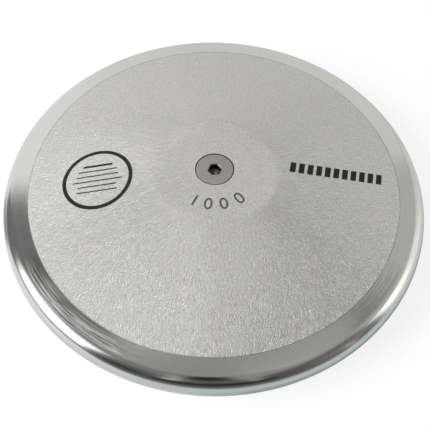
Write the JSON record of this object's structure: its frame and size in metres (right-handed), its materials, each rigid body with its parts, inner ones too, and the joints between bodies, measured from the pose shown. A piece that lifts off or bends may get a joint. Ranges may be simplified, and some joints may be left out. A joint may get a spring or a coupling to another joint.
{
  "type": "discus",
  "caption": "Throwing discus: a turned steel rim carrying pressed steel side plates, held at the centre by a countersunk screw on each face.",
  "frame": {"origin": "centre of the discus, on its spin axis and midway between the faces", "axes": "+Z along the spin axis, out of the upper face; +X and +Y along two diameters"},
  "size_m": [0.181, 0.181, 0.037],
  "materials": {
    "turned_steel": "turned and polished, bright zinc",
    "zinc_plate": "zinc plated sheet, satin with fine streaks",
    "core_steel": "plain turned",
    "screw_steel": "satin"
  },
  "bodies": {
    "root": {"rim": "turned_steel", "upper_side_plate": "zinc_plate", "lower_side_plate": "zinc_plate", "upper_core_flange": "core_steel", "lower_core_flange": "core_steel", "core_sleeve": "core_steel", "upper_centre_screw": "screw_steel", "lower_centre_screw": "screw_steel"}
  },
  "joints": []
}
